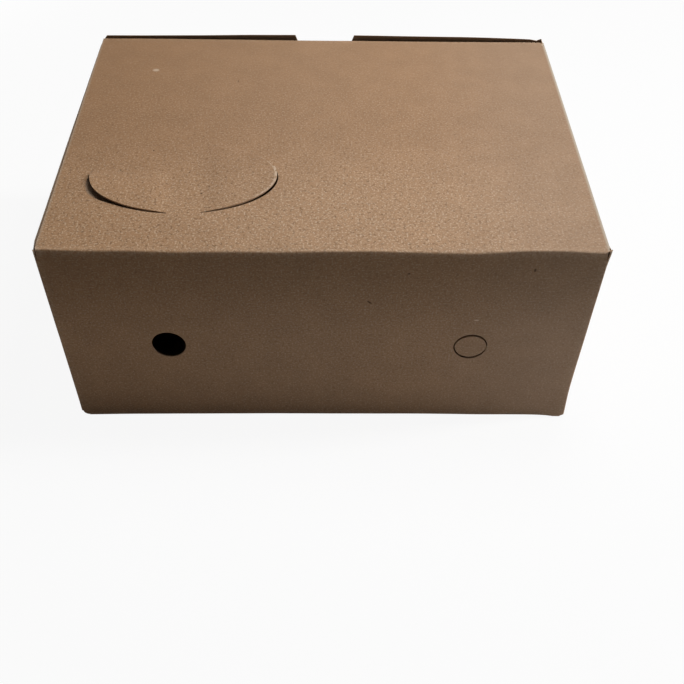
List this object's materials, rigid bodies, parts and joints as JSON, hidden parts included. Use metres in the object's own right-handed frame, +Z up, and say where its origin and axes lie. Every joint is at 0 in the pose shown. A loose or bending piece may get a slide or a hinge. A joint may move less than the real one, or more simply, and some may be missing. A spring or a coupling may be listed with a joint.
{
  "type": "snack box",
  "caption": "Closed kraft board carton for snacks, with a hinged tuck-in lid, a thumb notch, an oval die-cut tab on the lid and round vents in the front wall.",
  "frame": {"origin": "middle of the base, on the surface that the box stands on", "axes": "+X along the width, to the right when facing the vented front wall; +Y from the vented front wall to the notched back wall; +Z up"},
  "size_m": [0.18, 0.1326, 0.083],
  "materials": {
    "kraft_board": "matt uncoated kraft board with fine fibre specks",
    "kraft_lid": "matt uncoated kraft board with fine fibre specks"
  },
  "bodies": {
    "carton": {"carton": "kraft_board"},
    "lid": {"lid": "kraft_lid"}
  },
  "joints": [
    {"name": "lid_hinge", "type": "hinge", "parent": "carton", "child": "lid", "pos_m": [0, -0.06605, 0.08075], "axis": [1, 0, 0], "range_deg": [0, 180]}
  ]
}
